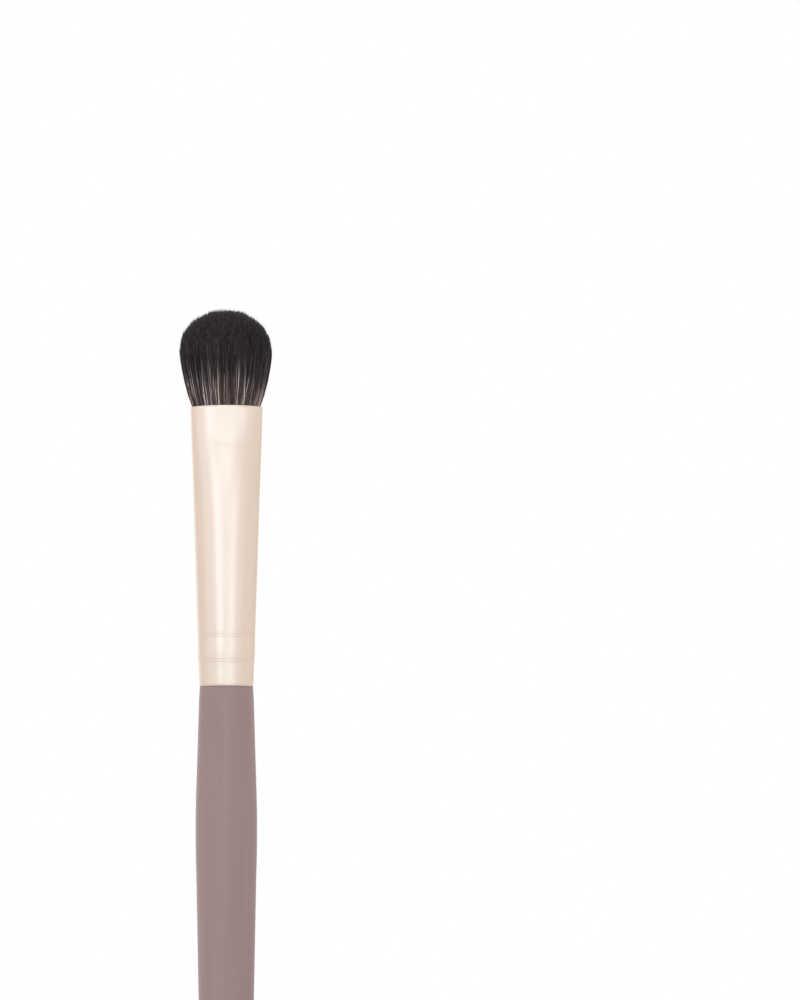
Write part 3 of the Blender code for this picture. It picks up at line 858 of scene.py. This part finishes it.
def lay_hairs(mesh, home, strand, lock):
    """Moves a bundle's hairs to their lines. Says how far each point lies below its tip."""
    count = len(home)
    points = np.empty(len(mesh.vertices) * 3, np.float32)
    mesh.vertices.foreach_get("co", points)
    points = points.reshape(count, POINTS_PER_HAIR, 3).astype(float)
    along = np.clip(points[:, :, 2], 0, 1)
    drift = strand_drift[strand] + chance.normal(0, HAIR_DRIFT, (count, 2))
    top = tip_heights(home + drift, lock)[:, None]
    rise = -ROOT_DEPTH + (top + ROOT_DEPTH) * along
    free = np.clip(rise / FREE_AT, 0, 1)
    rim = RIM + RIM_PLAY * chance.random((count, 1))
    splay = SPLAY * chance.random((count, 1, 1)) ** RARE
    line = strand_line(home, strand, lock, rise) + drift[:, None] * free[:, :, None]
    line = into_disc(line, rim) * (1 + splay * free[:, :, None])
    x, y = tuft_point(line[:, :, 0], line[:, :, 1], rise)
    phase, turn = chance.random((2, count, 1)) * 2 * math.pi
    wave = WAVE * free * np.sin(phase + rise * WAVE_TURN)
    sway = SWAY * free * np.sin(strand_phase[strand] + rise * SWAY_TURN)
    outward = home / np.maximum(np.hypot(*home.T), NEAR_MIDDLE)[:, None]
    stray = (chance.random(count) ** RARE * STRAY)[:, None] * along**TIP_ONLY
    x += wave * np.cos(turn) + sway * np.cos(strand_turn[strand]) + stray * outward[:, :1]
    y += wave * np.sin(turn) + sway * np.sin(strand_turn[strand]) + stray * outward[:, 1:]
    own = THINNEST + THICKER * chance.random((count, 1))
    thick = HAIR_RADIUS * np.interp(along, *TAPER) * own
    points[:, :, 0] = (x + points[:, :, 0] * thick) * MM
    points[:, :, 1] = (y + points[:, :, 1] * thick) * MM
    points[:, :, 2] = MOUTH + rise * MM
    mesh.vertices.foreach_set("co", points.astype(np.float32).ravel())
    mesh.update()
    return top - rise


# %% [markdown]
# ## What the colour needs
# Two numbers say what colour a point of a hair has. One is how light the hair is, which
# is partly its own, partly its strand's, and a little higher on the flanks, as painted rim
# light. The other is how far the point lies below the tip. That distance is made longer
# and shorter from place to place by two slow waves across the disc, so that the pale
# streaks start unevenly, and longer on the slanted face, whose tips miss the painted light.

# %% Work out lightness and depth
STRAND_SHARE, LOCK_SHARE, HAIR_SHARE = 0.35, 0.1, 0.55
# The flank share is painted rim light.
PAINTED_FLANK_LIGHT, BACK_LIGHT = 0.12, 0.04
# of each slow wave: its height, how fast it turns across and back, and its start
SWELLS = ((0.7, 2.6, 1, 3), (0.4, 9.5, -4, 0.6))
SWELLS_BELOW = 3
FACE_SHIFT, FACE_EDGE = 0.8, 0.5


def hair_lightness(home, strand, lock):
    """How light each hair is, from 0 to 1."""
    across, back = home.T
    light = STRAND_SHARE * strand_light[strand] + LOCK_SHARE * lock_light[lock]
    light = light + HAIR_SHARE * chance.random(len(home))
    # Painted rim light: hairs towards the flanks are made lighter.
    return np.clip(light + PAINTED_FLANK_LIGHT * across**6 + BACK_LIGHT * back - BACK_LIGHT, 0, 1)


def colour_depth(home, below_tip):
    """The distance below the tip by which a point is coloured."""
    across, back = home.T
    swell = sum(
        height * np.sin(wide * across + deep * back + begin)
        for height, wide, deep, begin in SWELLS
    )
    uneven = swell[:, None] * np.clip(below_tip / SWELLS_BELOW, 0, 1)
    face = np.clip(FACE_EDGE - back, 0, 1) * (1 - across**8)
    return below_tip + uneven + FACE_SHIFT * face[:, None]


# %% [markdown]
# ## A map along each hair
# Both numbers go into a UV map, lightness across and distance along, so that one small
# picture could hold the colour of every hair. The map has a name of its own, by which
# the export keeps it.

# %% Write the hair map
LONGEST_HAIR = 15.5
MAP_EDGE = 0.01


def map_hairs(mesh, light, depth):
    """Gives each point its hair's lightness as U and its distance from the tip as V."""
    layer = mesh.uv_layers.new(name="OFBake")
    owner = np.empty(len(mesh.loops), np.int32)
    mesh.loops.foreach_get("vertex_index", owner)
    across = np.repeat(light, POINTS_PER_HAIR)[owner]
    across = across * (1 - 2 * MAP_EDGE) + MAP_EDGE
    along = (depth.ravel() / LONGEST_HAIR)[owner]
    along = np.clip(along, MAP_EDGE / 2, 1 - MAP_EDGE / 2)
    pairs = np.stack([across, along], axis=1)
    layer.data.foreach_set("uv", pairs.astype(np.float32).ravel())


# %% [markdown]
# ## The colour of the hair
# Every hair is nearly black in its upper part. On the long side and the flanks the tips
# are lightened by painted rim light, and on the slanted face they aren't, since its hairs
# are read as if from further down. Lower down most hairs stay dark brown, but the
# lightest turn a pale rose, which gives the fine pale streaks over the mouth. A light hair
# turns pale higher up than a dark one, so the streaks end in points. No two hairs have
# quite the same brown either: a fine noise across the map makes one a touch warmer and
# the next a touch cooler. Hair has little shine, so its specular level is low.

# %% Mix the hair colour
WARM_HAIR = (1.06, 0.98, 0.92, 1)
COOL_HAIR = (0.95, 1, 1.04, 1)
# How far down and how strongly the painted rim light lightens the tips.
TIP_LIGHT_REACH, TIP_LIGHT_SHARE = 0.7, 0.9
PALE_FROM, PALE_TO, LIGHT_HAIR_SOONER = 3.0, 7.6, 2.2

hair_finish = Finish("dark_streaked_hair", Roughness=0.55, Specular_IOR_Level=0.1)
pair = hair_finish.node("UVMap", {"uv_map": "OFBake"})
lightness = hair_finish.node("SeparateXYZ", (), {0: pair}, output=0)
below = hair_finish.node("SeparateXYZ", (), {0: pair}, output=1) * LONGEST_HAIR
sooner = lightness * LIGHT_HAIR_SOONER
pale_part = hair_finish.step(below + sooner, PALE_FROM, PALE_TO) ** 2
# Painted rim light: the top of each tip is lightened.
painted_tip_light = 1 - hair_finish.step(below, 0, TIP_LIGHT_REACH)
pale_ramp = hair_finish.node("ValToRGB", {"stops": (
    (0.22, screen(74, 64, 62)),
    (0.45, screen(94, 81, 78)),
    (0.62, screen(154, 133, 128)),
    (0.8, screen(246, 221, 214)),
)}, {"Fac": lightness})
dark_ramp = hair_finish.node("ValToRGB", {"stops": (
    (0.15, screen(49, 45, 46)),
    (0.5, screen(68, 62, 62)),
    (0.85, screen(106, 99, 100)),
)}, {"Fac": lightness})
# The painted rim light blends the tips towards this lighter tone.
tip_lit_colour = hair_finish.blend(painted_tip_light * TIP_LIGHT_SHARE, dark_ramp, screen(98, 91, 90))
plain = hair_finish.blend(pale_part, tip_lit_colour, pale_ramp)
sockets = {"W": lightness, "Scale": 70}
hue = hair_finish.node("TexNoise", {"noise_dimensions": "1D"}, sockets)
tint = hair_finish.blend(hair_finish.step(hue, 0.4, 0.6), WARM_HAIR, COOL_HAIR)
settings = {"data_type": "RGBA", "blend_type": "MULTIPLY"}
hair_colour = hair_finish.node("Mix", settings, {"Factor": 1, 6: plain, 7: tint}, output=2)
hair_finish.feed("Base Color", hair_colour)
print("hair finish has", len(hair_finish.tree.nodes), "nodes")

# %% [markdown]
# ## Four bundles make the head
# Each bundle takes every fourth place of the sunflower, so each is a thin head by itself
# and together they are dense. Four pieces keep every mesh small enough to be handed on
# whole. All of them stand for the one solid tuft.

# %% Fill the head
for number in range(BUNDLES):
    chosen = slice(number, None, BUNDLES)
    home, strand = hair_places[chosen], strand_of_hair[chosen]
    lock = lock_of_strand[strand]
    mesh = hair_bundle.copy()
    below_tip = lay_hairs(mesh, home, strand, lock)
    map_hairs(mesh, hair_lightness(home, strand, lock), colour_depth(home, below_tip))
    place_piece(f"hair_bundle_{number + 1}", mesh, hair_finish, "dark_hair", "tuft")
bpy.data.meshes.remove(hair_bundle)

# %% [markdown]
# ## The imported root
# Inside the ferrule the hair is one firm oval plug, drawn in where thread is wound round
# it, with its end sunk in glue. It hardly shows, but without it one could look past the
# hairs into an empty tube. It is turned round and then pressed oval, as the ferrule is.

# %% Make the root
ROOT_OUTLINE = (
    (0, -1.9), (1, -1.9), (1, -4.6), (0.82, -5.1), (0.82, -9.3), (1, -9.8), (1, -11.5),
    (0, -11.5),
)
ROOT_GAP = 0.03
ROOT_STEPS = 72

bm = turn_on_lathe(ROOT_OUTLINE, False, ROOT_STEPS)
for vertex in bm.verts:
    x, y, rise = vertex.co
    share = math.hypot(x, y)
    wide, deep = oval_point(math.atan2(y, x), LENGTH + rise)
    width, depth = ferrule_sizes(LENGTH + rise)
    vertex.co.x = (width / 2 - WALL - ROOT_GAP) * share * wide * MM
    vertex.co.y = (depth / 2 - WALL - ROOT_GAP) * share * deep * MM
    vertex.co.z = MOUTH + rise * MM

packed = Finish("packed_hair", Roughness=0.7, Specular_IOR_Level=0.1)
place = packed.node("TexCoord", output="Object")
stretched = packed.node("Mapping", (), {"Vector": place, "Scale": (1, 1, 0.03)})
strands = packed.node("TexNoise", (), {"Vector": stretched, "Scale": 9000, "Detail": 2})
tone = packed.step(strands, 0.35, 0.65)
dark = packed.blend(tone, screen(24, 21, 21), screen(52, 45, 44))
packed.feed("Base Color", dark)
packed.relief(strands, 0.02 * MM)
keep_piece("packed_root", bm, packed, "dark_hair", "tuft")

# %% [markdown]
# ## What lies inside the ferrule
# The glue that holds hair and handle, and the thread that ties the hair's root, lie
# sealed inside. Their solids are right as they are, so they only get their finishes:
# cured amber glue with small bubbles, and waxed thread with its twist.

# %% Finish the inner solids
glue = Finish("amber_glue", Roughness=0.22)
place = glue.node("TexCoord", output="Object")
bubbles = glue.node("TexVoronoi", (), {"Vector": place, "Scale": 1400})
tone = glue.step(bubbles, 0.1, 0.5)
amber = glue.blend(tone, screen(226, 204, 158), screen(208, 182, 130))
glue.feed("Base Color", amber)
glue.relief(bubbles, 0.03 * MM)

thread = Finish("natural_thread", Roughness=0.7, Sheen_Weight=0.2)
place = thread.node("TexCoord", output="Object")
sockets = {"Vector": place, "Scale": 900}
twist = thread.node("TexWave", {"bands_direction": "DIAGONAL"}, sockets)
natural = thread.blend(twist, screen(205, 196, 178), screen(232, 225, 210))
thread.feed("Base Color", natural)
thread.relief(twist, 0.03 * MM)

for title, finish in (("glue_plug", glue), ("binding_thread", thread)):
    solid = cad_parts[title]
    solid.material_slots[0].material = finish.material
    print(title, "wears", finish.material.name)

# %% [markdown]
# ## Holding the pieces against the solids
# Last, the box of the finished brush is written beside the box of the solids. The two
# should agree to a fraction of a millimetre.

# %% Compare the boxes and finish
DRESSED_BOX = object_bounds()
for title, (low, high) in (("solids", CAD_BOX), ("dressed", DRESSED_BOX)):
    print(title, "measure", [round(side / MM, 2) for side in high - low], "mm")
